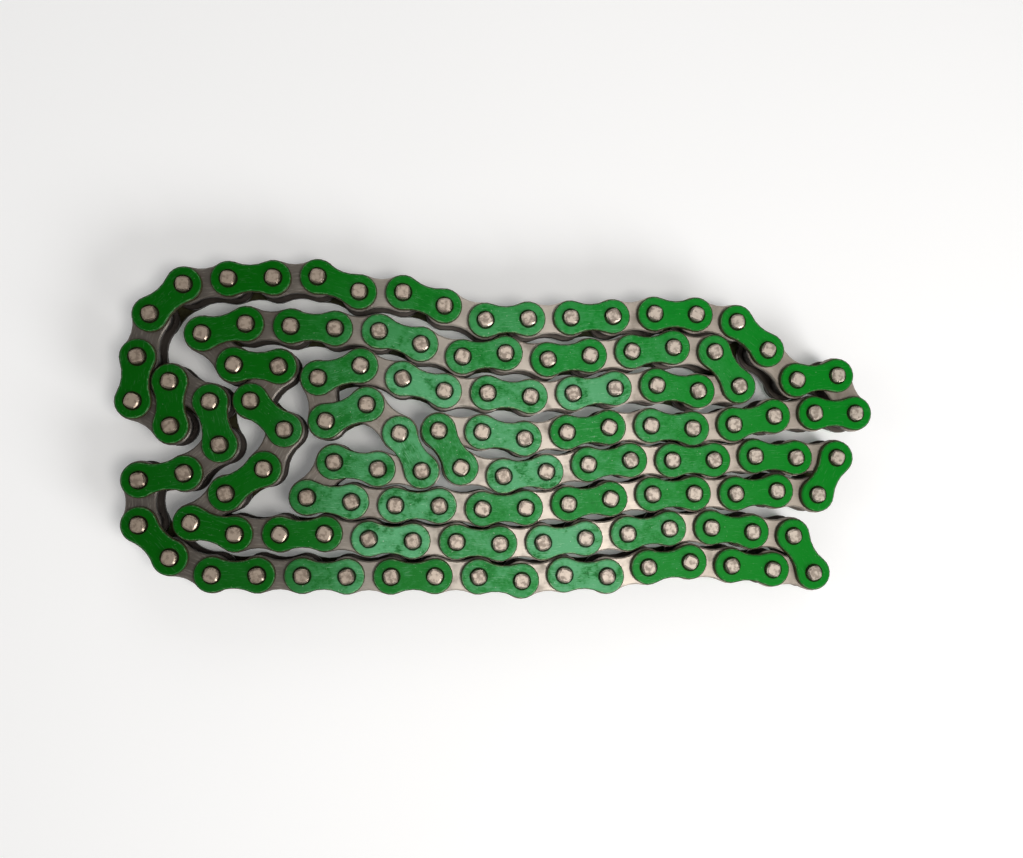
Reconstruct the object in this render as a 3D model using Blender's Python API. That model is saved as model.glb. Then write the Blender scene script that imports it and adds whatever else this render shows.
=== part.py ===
"""Roller chain, 12.7 mm pitch, 128 pitches in one closed loop, lying on its side as a tight pile of eight rows.

Every other link is an outer link (two plates and two pins) and the links between are inner links (two plates,
two bushes, two rollers). Pins are numbered 0 to 127 round the loop, and link i joins pins i and i + 1, so even
links are outer links. Link 0 is the connecting link, closed by a cover plate and a spring clip. Links 110 to 127
are the outermost row, free to swing outwards one by one. Links 2 to 109 are packed, row against row.
Sizes are in millimetres and become metres where a mesh is made. +Z is up, along the pins.
"""

import math

import bpy
import numpy as np
from mathutils import Vector
from mathutils.geometry import tessellate_polygon

MM = 0.001

# Chain sizes
PITCH = 12.7
LINKS = 128
ROLLER_RADIUS = 4.255
INNER_WIDTH = 7.94
PLATE = 2.0
SIDE_GAP = 0.15
PIN_RADIUS = 2.225
PIN_STAND = 1.2
BUSH_RADIUS = 3.1
INNER_END_RADIUS = 5.55
INNER_WAIST = 4.2
OUTER_END_RADIUS = 5.2
OUTER_WAIST = 3.9

# Running and assembly gaps
RUN_GAP = 0.06
FIT_GAP = 0.1
ROLLER_END_GAP = 0.12
ROW_GAP = 0.3

# Levels, measured from the chain's middle plane
INNER_LOW = INNER_WIDTH / 2
INNER_HIGH = INNER_LOW + PLATE
OUTER_LOW = INNER_HIGH + SIDE_GAP
OUTER_HIGH = OUTER_LOW + PLATE
PIN_END = OUTER_HIGH + PIN_STAND
MIDDLE = PIN_END

# Spring clip and its grooves
CLIP_THICK = 0.8
CLIP_LIFT = 0.12
GROOVE_RADIUS = 1.65
CLIP_END_RADIUS = 4.2
CLIP_LEG_REACH = 3.4
CLIP_TIP_TAPER = 1.2
CLIP_TIP_FLARE = 0.3
CLIP_TIP_LEAD = 1.0

# Facets
PIN_SIDES = 10
PLAIN_SIDES = 8
ROW_SIDES = 6
SHANK_SIDES = 4
END_POINTS = 7
ROW_END_POINTS = 5
CLIP_END_POINTS = 9
ROW_OVERLAP = 0.2
SHARP_ANGLE = 50

# Pins that fix the lay: (pin, x, y), from the part's middle. The pins between follow from the pitch.
GUIDE_PINS = (
    (0, -104.5, -14.5), (1, -92, -12.5), (3, -85, 8), (5, -96, 1), (6, -106.5, 8), (8, -102, 33),
    (10, -80, 43.5), (11, -67.5, 44), (12, -55, 44.5), (15, -18, 36.5), (16, -6, 32.5), (21, 57.5, 35),
    (23, 79.5, 24.5), (24, 88.5, 15.5), (26, 106.5, 5.5), (27, 94, 5.5), (32, 31, 1), (34, 5.5, -2.5),
    (35, -7, -0.5), (37, -13, -11), (40, 24.5, -10), (45, 88, -8), (46, 100.5, -8), (48, 82, -18),
    (56, -19.5, -22), (59, -57.5, -19.5), (62, -24.5, -12), (64, -40.5, 7.5), (66, -54.5, 15),
    (71, 7.5, 10), (72, 20, 11), (76, 70.5, 13.5), (78, 50.5, 25), (81, 12.5, 21), (83, -12.5, 21.5),
    (86, -50, 29.5), (88, -75, 30.5), (89, -87.5, 27.5), (93, -64, 0), (95, -80.5, -18.5),
    (96, -90, -26.5), (97, -77.5, -30), (99, -52.5, -30), (104, 11, -33), (110, 87, -31.5),
    (112, 80.5, -41.5), (114, 55, -39), (115, 42.5, -40.5), (120, -20.5, -42.5), (125, -84, -41.5),
    (127, -104.5, -27),
)
LAY_ROUNDS = 3000
LAY_PULL = 0.2
LAY_PULL_SHARE = 0.6
LAY_PUSH = 0.25

# The packed rows: (name, first link, last link). Each starts on an outer link and ends on an inner link.
ROWS = (
    ("left_curl", 2, 7),
    ("top_row_left", 8, 15),
    ("top_row_right", 16, 25),
    ("fourth_row", 26, 35),
    ("fifth_row", 36, 45),
    ("sixth_row_right", 46, 51),
    ("sixth_row_left", 52, 57),
    ("inner_fold", 58, 67),
    ("third_row", 68, 75),
    ("second_row_right", 76, 81),
    ("second_row_left", 82, 87),
    ("left_bend", 88, 97),
    ("seventh_row_left", 98, 103),
    ("seventh_row_right", 104, 109),
)
CURL_HINGE = 2
FREE_FROM = 110
DETAILED_FROM = 124


def chain_lay():
    """Pin centres of the loop. Straight guesses between the guide pins are moved, round after round, until every
    chord is one pitch, no two rows' plates are closer than ROW_GAP, and no plate end digs into a waist."""
    held = np.array([guide[0] for guide in GUIDE_PINS])
    places = np.array([guide[1:] for guide in GUIDE_PINS], float)
    pin = np.arange(LINKS)
    following = (pin + 1) % LINKS
    lay = np.stack([np.interp(pin, held, places[:, axis], period=LINKS) for axis in (0, 1)], 1)
    steps = np.abs(pin[:, None] - pin[None])
    joined = np.minimum(steps, LINKS - steps) < 2
    on_link = np.minimum((pin[:, None] - pin[None]) % LINKS, (pin[None] + 1 - pin[:, None]) % LINKS) < 1
    inner_link = (pin % 2 == 1)[None]
    past_inner = INNER_END_RADIUS + INNER_WAIST + ROW_GAP
    past_outer = OUTER_END_RADIUS + OUTER_WAIST + ROW_GAP
    waist_room = np.where(inner_link, past_inner, past_outer)
    end_room = 2 * INNER_END_RADIUS + ROW_GAP
    for turn in range(LAY_ROUNDS):
        pull = LAY_PULL * max(0.0, 1 - turn / (LAY_PULL_SHARE * LAY_ROUNDS))
        lay[held] += pull * (places - lay[held])
        for start in (0, 1):
            near = np.arange(start, LINKS, 2)
            far = (near + 1) % LINKS
            chord = lay[far] - lay[near]
            length = np.hypot(*chord.T)
            move = chord * ((length - PITCH) / (2 * length))[:, None]
            lay[near] += move
            lay[far] -= move
        apart = lay[:, None] - lay[None]
        length = np.where(joined, 1.0, np.hypot(apart[..., 0], apart[..., 1]))
        short = np.where(joined, 0.0, np.clip(end_room - length, 0, None))
        step = (apart * (LAY_PUSH * short / length)[..., None]).sum(1)
        middles = (lay + lay[following]) / 2
        apart = lay[:, None] - middles[None]
        length = np.where(on_link, 1.0, np.hypot(apart[..., 0], apart[..., 1]))
        short = np.where(on_link, 0.0, np.clip(waist_room - length, 0, None))
        push = apart * (LAY_PUSH * short / length)[..., None]
        back = push.sum(0) / 2
        step += push.sum(1) - back
        step[following] -= back
        lay += step
    low, high = lay.min(0), lay.max(0)
    return lay - (low + high) / 2


PINS = chain_lay()


def pin_at(number):
    return PINS[number % LINKS]


def link_axes(link):
    """Middle, unit direction and unit normal of a link in plan."""
    start, end = pin_at(link), pin_at(link + 1)
    along = (end - start) / np.hypot(*(end - start))
    return (start + end) / 2, along, np.array([-along[1], along[0]])


def circle(centre, radius, sides, along):
    """Regular polygon with its corners on the circle, turned with the link so that fitted facets meet."""
    turns = (np.arange(sides) + 0.5) * 2 * math.pi / sides
    across = np.array([-along[1], along[0]])
    return centre + radius * (np.cos(turns)[:, None] * along + np.sin(turns)[:, None] * across)


def inscribed(radius, sides):
    """Corner radius of a polygon whose flats stand at this radius."""
    return radius / math.cos(math.pi / sides)


def plate_outline(link, end_radius, waist, end_points):
    """Outline of a plate: two round ends, each an arc that runs on until it is as narrow as the waist between."""
    middle, along, across = link_axes(link)
    span = math.pi - math.asin(waist / end_radius)
    turns = np.linspace(-span, span, end_points)
    end = np.stack([PITCH / 2 + end_radius * np.cos(turns), end_radius * np.sin(turns)], 1)
    local = np.vstack([end, -end])
    return middle + local[:, :1] * along + local[:, 1:] * across


def prism(outline, low, high, holes=()):
    """(vertices, faces) of an upright solid with flat ends and round or shaped holes right through."""
    loops = [np.asarray(outline)] + [np.asarray(hole)[::-1] for hole in holes]
    flat = np.vstack(loops)
    count = len(flat)
    vertices = np.vstack([np.column_stack([flat, np.full(count, level)]) for level in (low, high)])
    caps = tessellate_polygon([[Vector((x, y, 0.0)) for x, y in loop] for loop in loops])
    faces = []
    for cap in caps:
        a, b, c = (flat[i] for i in cap)
        ahead = (b[0] - a[0]) * (c[1] - a[1]) - (b[1] - a[1]) * (c[0] - a[0]) > 0
        up = tuple(cap) if ahead else tuple(reversed(cap))
        faces.append(tuple(i + count for i in up))
        faces.append(tuple(reversed(up)))
    start = 0
    for loop in loops:
        for i in range(len(loop)):
            this, after = start + i, start + (i + 1) % len(loop)
            faces.append((this, after, after + count, this + count))
        start += len(loop)
    return vertices, faces


def turned(centre, along, profile, sides, ring=False):
    """(vertices, faces) of a turned piece about an upright axis. The profile is (radius, level) from low to high
    up the outside. A ring's profile comes back down its bore and closes on itself."""
    loops = [np.column_stack([circle(centre, radius, sides, along), np.full(sides, level)])
             for radius, level in profile]
    faces = []
    bands = len(loops) if ring else len(loops) - 1
    for band in range(bands):
        low, high = band * sides, (band + 1) % len(loops) * sides
        for i in range(sides):
            j = (i + 1) % sides
            faces.append((low + i, low + j, high + j, high + i))
    if not ring:
        faces.append(tuple(reversed(range(sides))))
        top = (len(loops) - 1) * sides
        faces.append(tuple(range(top, top + sides)))
    return np.vstack(loops), faces


def gathered(shapes):
    """Several (vertices, faces) as one."""
    vertices, faces, count = [], [], 0
    for points, sides in shapes:
        vertices.append(points)
        faces += [tuple(i + count for i in side) for side in sides]
        count += len(points)
    return np.vstack(vertices), faces


def finish(name, colour, roughness, metallic):
    material = bpy.data.materials.new(name)
    material.use_nodes = True
    shader = material.node_tree.nodes["Principled BSDF"]
    shader.inputs["Base Color"].default_value = (*colour, 1.0)
    shader.inputs["Roughness"].default_value = roughness
    shader.inputs["Metallic"].default_value = metallic
    return material


def add_object(name, shape, origin, material, parent=None):
    """A mesh object from world millimetres, with its origin at a point of the chain's middle plane."""
    vertices, faces = shape
    lift = np.array([0.0, 0.0, MIDDLE])
    base = np.array([origin[0], origin[1], 0.0])
    mesh = bpy.data.meshes.new(name)
    mesh.from_pydata((vertices - base) * MM, [], faces)
    mesh.update()
    mesh.shade_smooth()
    mesh.set_sharp_from_angle(angle=math.radians(SHARP_ANGLE))
    mesh.materials.append(material)
    piece = bpy.data.objects.new(name, mesh)
    bpy.context.scene.collection.objects.link(piece)
    set_place(piece, (base + lift) * MM, parent)
    return piece


def set_place(item, place, parent):
    """Put an object at a world place, under a parent that is not turned."""
    item["world_place"] = [float(value) for value in place]
    item.parent = parent
    above = Vector(parent["world_place"]) if parent else Vector()
    item.location = Vector(place) - above


def add_pivot(name, pin, parent):
    """An empty on a pin's axis, which the link beyond it hangs on."""
    pivot = bpy.data.objects.new(name, None)
    bpy.context.scene.collection.objects.link(pivot)
    centre = pin_at(pin)
    set_place(pivot, np.array([centre[0], centre[1], MIDDLE]) * MM, parent)
    return pivot


def combine(piece, operation, name, shape, origin, material):
    """Join a shape to a piece, or cut it out of the piece, with a hidden helper object."""
    helper = add_object(piece.name + name, shape, origin, material)
    helper.hide_render = True
    helper.display_type = "WIRE"
    modifier = piece.modifiers.new(name.strip("_"), "BOOLEAN")
    modifier.operation = operation
    modifier.solver = "EXACT"
    modifier.object = helper


for leftover in list(bpy.data.objects):
    bpy.data.objects.remove(leftover, do_unlink=True)

GREEN = finish("green_paint", (0.03, 0.28, 0.08), 0.38, 0.3)
NICKEL = finish("nickel_plate", (0.56, 0.53, 0.48), 0.32, 0.9)
STEEL = finish("dark_steel", (0.10, 0.10, 0.10), 0.35, 0.9)
BRIGHT = finish("bright_steel", (0.72, 0.71, 0.68), 0.25, 1.0)


def mirrored(low, high):
    """The two level pairs of a plate and of its twin on the other side of the chain."""
    return (low, high), (-high, -low)


def plain_plates(link, end_points):
    """Both plates of a link without holes, for a link made as one solid."""
    outer = link % 2 == 0
    radius, waist = (OUTER_END_RADIUS, OUTER_WAIST) if outer else (INNER_END_RADIUS, INNER_WAIST)
    near, far = (OUTER_LOW, OUTER_HIGH) if outer else (INNER_LOW, INNER_HIGH)
    outline = plate_outline(link, radius, waist, end_points)
    return [prism(outline, *levels) for levels in mirrored(near, far)]


def upright(pin, link, radius, sides, reach):
    """A plain round bar on a pin's axis, from -reach to +reach."""
    along = link_axes(link)[1]
    return turned(pin_at(pin), along, ((radius, -reach), (radius, reach)), sides)


def bores(link, pins):
    """Cutters for the pin holes of an inner link that is made as one solid."""
    radius = inscribed(PIN_RADIUS + FIT_GAP, PLAIN_SIDES)
    return gathered([upright(pin, link, radius, PLAIN_SIDES, PIN_END) for pin in pins])


# Packed rows: each is one solid, its links held still by the rows on both sides.
def add_row(name, first, last):
    inner = [link for link in range(first, last + 1) if link % 2 == 1]
    outer = [link for link in range(first, last + 1) if link % 2 == 0]
    origin = pin_at(first)
    plates = [plate for link in inner for plate in plain_plates(link, ROW_END_POINTS)]
    row = add_object(name, gathered(plates), origin, GREEN)
    reach = INNER_LOW + ROW_OVERLAP
    rollers = [upright(pin, link, ROLLER_RADIUS, ROW_SIDES, reach)
               for link in inner for pin in (link, link + 1)]
    combine(row, "UNION", "_rollers", gathered(rollers), origin, STEEL)
    covers = [plate for link in outer for plate in plain_plates(link, ROW_END_POINTS)]
    pins = [upright(pin, first, PIN_RADIUS, ROW_SIDES, PIN_END) for pin in (first, first + 1)]
    pins += [upright(pin, link, PIN_RADIUS, SHANK_SIDES, OUTER_HIGH - ROW_OVERLAP)
             for link in outer if link != first for pin in (link, link + 1)]
    combine(row, "UNION", "_covers", gathered(covers), origin, GREEN)
    combine(row, "UNION", "_pins", gathered(pins), origin, BRIGHT)
    combine(row, "DIFFERENCE", "_bore", bores(last, [last + 1]), origin, STEEL)


for row_name, first_link, last_link in ROWS:
    add_row(row_name, first_link, last_link)


# Free links made as one solid each, every one turning on the pin before it.
def add_plain_link(link, pivot):
    origin = pin_at(link)
    plates = gathered(plain_plates(link, ROW_END_POINTS))
    if link % 2 == 0:
        piece = add_object(f"outer_link_{link}", plates, origin, GREEN, pivot)
        pins = [upright(pin, link, PIN_RADIUS, PLAIN_SIDES, PIN_END) for pin in (link, link + 1)]
        combine(piece, "UNION", "_pins", gathered(pins), origin, BRIGHT)
        return
    piece = add_object(f"inner_link_{link}", plates, origin, NICKEL, pivot)
    reach = INNER_LOW + ROW_OVERLAP
    rollers = [upright(pin, link, ROLLER_RADIUS, PLAIN_SIDES, reach) for pin in (link, link + 1)]
    combine(piece, "UNION", "_rollers", gathered(rollers), origin, STEEL)
    combine(piece, "DIFFERENCE", "_bores", bores(link, (link, link + 1)), origin, STEEL)


# Free links made as their separate pieces.
def holed_plate(link, side, end_radius, waist, hole_radius, low, high):
    """One plate of a link with its two round holes. side is 1 for the upper plate and -1 for the lower."""
    along = link_axes(link)[1]
    holes = [circle(pin_at(pin), hole_radius, PIN_SIDES, along) for pin in (link, link + 1)]
    levels = (low, high) if side > 0 else (-high, -low)
    return prism(plate_outline(link, end_radius, waist, END_POINTS), *levels, holes)


def add_inner_link(link, pivot):
    """Two plates pressed on two bushes, and a roller running on each bush."""
    along = link_axes(link)[1]
    hole = BUSH_RADIUS + FIT_GAP
    for side, word in ((1, "upper"), (-1, "lower")):
        plate = holed_plate(link, side, INNER_END_RADIUS, INNER_WAIST, hole, INNER_LOW, INNER_HIGH)
        add_object(f"inner_plate_{link}_{word}", plate, pin_at(link), NICKEL, pivot)
    bush_bore = inscribed(PIN_RADIUS + RUN_GAP, PIN_SIDES)
    roller_bore = inscribed(BUSH_RADIUS + RUN_GAP, PIN_SIDES)
    roller_end = INNER_LOW - ROLLER_END_GAP
    for pin in (link, link + 1):
        centre = pin_at(pin)
        bush = ((BUSH_RADIUS, -INNER_HIGH), (BUSH_RADIUS, INNER_HIGH),
                (bush_bore, INNER_HIGH), (bush_bore, -INNER_HIGH))
        roller = ((ROLLER_RADIUS, -roller_end), (ROLLER_RADIUS, roller_end),
                  (roller_bore, roller_end), (roller_bore, -roller_end))
        number = pin % LINKS
        add_object(f"bush_{number}", turned(centre, along, bush, PIN_SIDES, ring=True), centre, STEEL, pivot)
        axle = add_pivot(f"roller_axis_{number}", pin, pivot)
        add_object(f"roller_{number}", turned(centre, along, roller, PIN_SIDES, ring=True), centre, STEEL, axle)


def add_outer_link(link, pivot):
    """Two plates and the two pins that are pressed and riveted into them."""
    along = link_axes(link)[1]
    hole = PIN_RADIUS + FIT_GAP
    for side, word in ((1, "upper"), (-1, "lower")):
        plate = holed_plate(link, side, OUTER_END_RADIUS, OUTER_WAIST, hole, OUTER_LOW, OUTER_HIGH)
        add_object(f"outer_plate_{link}_{word}", plate, pin_at(link), GREEN, pivot)
    for pin in (link, link + 1):
        shank = ((PIN_RADIUS, -PIN_END), (PIN_RADIUS, PIN_END))
        add_object(f"pin_{pin}", turned(pin_at(pin), along, shank, PIN_SIDES), pin_at(pin), BRIGHT, pivot)


def add_connecting_link(pivot):
    """The link that closes the loop: a plate with two grooved pins, a cover plate below and a spring clip.

    The pivot at pin 0 is where the loop is opened for motion, so that pin is only its two ends, in the plates."""
    link = 0
    middle, along, across = link_axes(link)
    hole = PIN_RADIUS + FIT_GAP
    for side, name in ((1, "connecting_plate"), (-1, "cover_plate")):
        plate = holed_plate(link, side, OUTER_END_RADIUS, OUTER_WAIST, hole, OUTER_LOW, OUTER_HIGH)
        add_object(name, plate, pin_at(1), GREEN, pivot)
    clip_top = -(OUTER_HIGH + CLIP_LIFT)
    clip_low = clip_top - CLIP_THICK
    groove_top = -OUTER_HIGH
    groove_low = clip_low - CLIP_LIFT / 2
    foot = ((PIN_RADIUS, -PIN_END), (PIN_RADIUS, groove_low), (GROOVE_RADIUS, groove_low),
            (GROOVE_RADIUS, groove_top), (PIN_RADIUS, groove_top))
    whole = foot + ((PIN_RADIUS, PIN_END),)
    lower_end = foot + ((PIN_RADIUS, -OUTER_LOW),)
    upper_end = ((PIN_RADIUS, OUTER_LOW), (PIN_RADIUS, PIN_END))
    for name, pin, profile in (("connecting_pin_1", 1, whole), ("connecting_pin_0_lower_end", 0, lower_end),
                               ("connecting_pin_0_upper_end", 0, upper_end)):
        shape = turned(pin_at(pin), along, profile, PIN_SIDES)
        add_object(name, shape, pin_at(pin), BRIGHT, pivot)

    # The clip is a flat fork: round about pin 0, its two legs reaching past pin 1.
    slot = GROOVE_RADIUS + FIT_GAP
    outer_turns = np.radians(np.linspace(90, 270, CLIP_END_POINTS))
    inner_turns = outer_turns[::-1]
    round_end = np.array([-PITCH / 2, 0.0])
    outside = round_end + CLIP_END_RADIUS * np.stack([np.cos(outer_turns), np.sin(outer_turns)], 1)
    inside = round_end + slot * np.stack([np.cos(inner_turns), np.sin(inner_turns)], 1)
    leg_end = PITCH / 2 + CLIP_LEG_REACH
    tip_outside = CLIP_TIP_TAPER - CLIP_END_RADIUS
    tip_inside = -slot - CLIP_TIP_FLARE
    legs = np.array([[leg_end, tip_outside], [leg_end, tip_inside], [leg_end - CLIP_TIP_LEAD, -slot]])
    local = np.vstack([outside, legs, inside, legs[::-1] * (1, -1)])
    fork = middle + local[:, :1] * along + local[:, 1:] * across
    slide = add_pivot("clip_slide", 0, pivot)
    add_object("spring_clip", prism(fork, clip_low, clip_top), pin_at(0), BRIGHT, slide)


curl_pivot = add_pivot("hinge_2", CURL_HINGE, None)
add_inner_link(1, curl_pivot)
add_connecting_link(add_pivot("hinge_1", 1, curl_pivot))

free_pivot = None
for free_link in range(FREE_FROM, LINKS):
    free_pivot = add_pivot(f"hinge_{free_link}", free_link, free_pivot)
    if free_link < DETAILED_FROM:
        add_plain_link(free_link, free_pivot)
    elif free_link % 2 == 0:
        add_outer_link(free_link, free_pivot)
    else:
        add_inner_link(free_link, free_pivot)
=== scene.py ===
"""Looks of a 12.7 mm pitch roller chain that lies on its side as one closed, tightly folded loop.

Pins are numbered 0 to 127 round the loop and link i joins pins i and i + 1. Even links are outer links, odd links
are inner links. Sizes are in millimetres, heights from the chain's middle plane, until a mesh is made.
"""

import math

import bpy
import numpy as np
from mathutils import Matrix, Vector


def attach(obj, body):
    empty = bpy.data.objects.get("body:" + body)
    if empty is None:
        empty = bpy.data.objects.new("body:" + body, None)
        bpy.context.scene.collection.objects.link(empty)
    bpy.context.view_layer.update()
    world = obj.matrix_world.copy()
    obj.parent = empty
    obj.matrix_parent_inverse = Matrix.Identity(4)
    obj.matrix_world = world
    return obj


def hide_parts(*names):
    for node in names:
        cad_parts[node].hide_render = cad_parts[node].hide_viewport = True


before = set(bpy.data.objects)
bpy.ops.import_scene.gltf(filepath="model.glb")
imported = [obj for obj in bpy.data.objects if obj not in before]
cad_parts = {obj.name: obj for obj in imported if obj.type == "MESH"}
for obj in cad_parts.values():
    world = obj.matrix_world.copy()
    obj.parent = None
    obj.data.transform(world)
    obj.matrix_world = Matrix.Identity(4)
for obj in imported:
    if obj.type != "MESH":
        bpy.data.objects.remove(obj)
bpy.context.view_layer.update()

# ---------------------------------------------------------------------------------------------------------------
# The lay of the loop. Some pins are known, the pins between follow from the pitch, and the rows are pressed
# together until plate rests beside plate. The links are then numbered along it.
# ---------------------------------------------------------------------------------------------------------------
PITCH = 12.7
LINKS = 128
INNER_END_RADIUS = 5.55
INNER_WAIST = 4.2
OUTER_END_RADIUS = 5.2
OUTER_WAIST = 3.9
ROW_GAP = 0.3
LAY_ROUNDS = 3000
LAY_PULL = 0.2
LAY_PULL_SHARE = 0.6
LAY_PUSH = 0.25

GUIDE_PINS = (
    (0, -104.5, -14.5), (1, -92, -12.5), (3, -85, 8), (5, -96, 1), (6, -106.5, 8), (8, -102, 33),
    (10, -80, 43.5), (11, -67.5, 44), (12, -55, 44.5), (15, -18, 36.5), (16, -6, 32.5), (21, 57.5, 35),
    (23, 79.5, 24.5), (24, 88.5, 15.5), (26, 106.5, 5.5), (27, 94, 5.5), (32, 31, 1), (34, 5.5, -2.5),
    (35, -7, -0.5), (37, -13, -11), (40, 24.5, -10), (45, 88, -8), (46, 100.5, -8), (48, 82, -18),
    (56, -19.5, -22), (59, -57.5, -19.5), (62, -24.5, -12), (64, -40.5, 7.5), (66, -54.5, 15),
    (71, 7.5, 10), (72, 20, 11), (76, 70.5, 13.5), (78, 50.5, 25), (81, 12.5, 21), (83, -12.5, 21.5),
    (86, -50, 29.5), (88, -75, 30.5), (89, -87.5, 27.5), (93, -64, 0), (95, -80.5, -18.5),
    (96, -90, -26.5), (97, -77.5, -30), (99, -52.5, -30), (104, 11, -33), (110, 87, -31.5),
    (112, 80.5, -41.5), (114, 55, -39), (115, 42.5, -40.5), (120, -20.5, -42.5), (125, -84, -41.5),
    (127, -104.5, -27),
)


def chain_lay():
    """Pin centres of the loop. Straight guesses between the guide pins are moved, round after round, until every
    chord is one pitch, no two rows' plates are closer than the row gap, and no plate end digs into a waist."""
    held = np.array([guide[0] for guide in GUIDE_PINS])
    places = np.array([guide[1:] for guide in GUIDE_PINS], float)
    pin = np.arange(LINKS)
    following = (pin + 1) % LINKS
    lay = np.stack([np.interp(pin, held, places[:, axis], period=LINKS) for axis in (0, 1)], 1)
    steps = np.abs(pin[:, None] - pin[None])
    joined = np.minimum(steps, LINKS - steps) < 2
    on_link = np.minimum((pin[:, None] - pin[None]) % LINKS, (pin[None] + 1 - pin[:, None]) % LINKS) < 1
    inner_link = (pin % 2 == 1)[None]
    past_inner = INNER_END_RADIUS + INNER_WAIST + ROW_GAP
    past_outer = OUTER_END_RADIUS + OUTER_WAIST + ROW_GAP
    waist_room = np.where(inner_link, past_inner, past_outer)
    end_room = 2 * INNER_END_RADIUS + ROW_GAP
    for turn in range(LAY_ROUNDS):
        pull = LAY_PULL * max(0.0, 1 - turn / (LAY_PULL_SHARE * LAY_ROUNDS))
        lay[held] += pull * (places - lay[held])
        for start in (0, 1):
            near = np.arange(start, LINKS, 2)
            far = (near + 1) % LINKS
            chord = lay[far] - lay[near]
            length = np.hypot(*chord.T)
            move = chord * ((length - PITCH) / (2 * length))[:, None]
            lay[near] += move
            lay[far] -= move
        apart = lay[:, None] - lay[None]
        length = np.where(joined, 1.0, np.hypot(apart[..., 0], apart[..., 1]))
        short = np.where(joined, 0.0, np.clip(end_room - length, 0, None))
        step = (apart * (LAY_PUSH * short / length)[..., None]).sum(1)
        middles = (lay + lay[following]) / 2
        apart = lay[:, None] - middles[None]
        length = np.where(on_link, 1.0, np.hypot(apart[..., 0], apart[..., 1]))
        short = np.where(on_link, 0.0, np.clip(waist_room - length, 0, None))
        push = apart * (LAY_PUSH * short / length)[..., None]
        back = push.sum(0) / 2
        step += push.sum(1) - back
        step[following] -= back
        lay += step
    low, high = lay.min(0), lay.max(0)
    return lay - (low + high) / 2


PINS = chain_lay()
CHORDS = np.roll(PINS, -1, 0) - PINS
ALONG = CHORDS / np.hypot(*CHORDS.T)[:, None]

# ---------------------------------------------------------------------------------------------------------------
# Inner plates: stamped from 2 mm strip, waisted, edges tumbled, nickel plated. Two of them stand on each pair of
# bushes. They show between the outer plates. Their colour carries painted light, warm grey in the middle of the
# pile and darker brown-grey further off, and painted shade low on their walls.
# ---------------------------------------------------------------------------------------------------------------
MM = 0.001
PLATE = 2.0
INNER_LOW = 3.97
INNER_HIGH = INNER_LOW + PLATE
MIDDLE = 9.32
BUSH_RADIUS = 3.1
PIN_RADIUS = 2.225
RUN_GAP = 0.06
BUSH_BORE = PIN_RADIUS + RUN_GAP
FIT_GAP = 0.1

# The rounded upper edge's width, its depth as a share of that, and the width of the lower edge.
EDGE = 0.42
EDGE_DEPTH = 0.8
LOWER_EDGE = 0.2

# Steps round the end, round the waist and across the middle of a plate.
ROW_STEPS = (14, 2, 4)
FINE_STEPS = (26, 4, 6)

# One shade for each link, so that no two look the same.
TONES = np.random.default_rng(7).random(LINKS)

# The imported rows: node, first link and last link. An outer link comes first in each, and an inner link last.
ROWS = (
    ("left_curl", 2, 7), ("top_row_left", 8, 15), ("top_row_right", 16, 25), ("fourth_row", 26, 35),
    ("fifth_row", 36, 45), ("sixth_row_right", 46, 51), ("sixth_row_left", 52, 57), ("inner_fold", 58, 67),
    ("third_row", 68, 75), ("second_row_right", 76, 81), ("second_row_left", 82, 87), ("left_bend", 88, 97),
    ("seventh_row_left", 98, 103), ("seventh_row_right", 104, 109),
)
# The free links with one node each, and the links whose every piece has a node.
PLAIN_FREE = range(110, 124)
DETAILED = (124, 125, 126, 127, 0, 1)


def body_of_link(link):
    """The body that carries a free link's plates."""
    return {0: "connecting_link", 1: "curl_link_1"}.get(link, f"link_{link}")


def border(end_radius, waist, inset, steps):
    """Points round one half of a plate, seen from its pin hole. The end is an arc about the hole. The waist is
    an arc about a point beside the plate's middle, and shares its tangent with the end. A line down the middle
    closes the half. An inset moves every point inwards by the same distance, so the borders stay parallel."""
    end_steps, waist_steps, middle_steps = steps
    half = PITCH / 2
    hollow = (half**2 + waist**2 - end_radius**2) / (2 * (end_radius - waist))
    lean = math.atan2(waist + hollow, half)
    turn = np.linspace(0, math.pi / 2 - lean, waist_steps + 1)
    lower = np.stack([(hollow + inset) * np.sin(turn), (hollow + inset) * np.cos(turn) - waist - hollow], 1)
    sweep = np.linspace(lean - math.pi, math.pi - lean, end_steps + 1)[1:-1]
    end = (end_radius - inset) * np.stack([np.cos(sweep), np.sin(sweep)], 1) + (half, 0)
    upper = lower[::-1] * (1, -1)
    middle = np.linspace(upper[-1], lower[0], middle_steps + 1)[1:-1]
    return np.vstack([lower, end, upper, middle])


def joined(points, grain, loops, sizes):
    """One shape with the points that lie on each other made one, and any that no face uses left out."""
    _, first, index = np.unique(np.round(points[loops], 4), axis=0, return_index=True, return_inverse=True)
    kept = loops[first]
    return points[kept], grain[kept], index.reshape(-1), sizes


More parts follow.
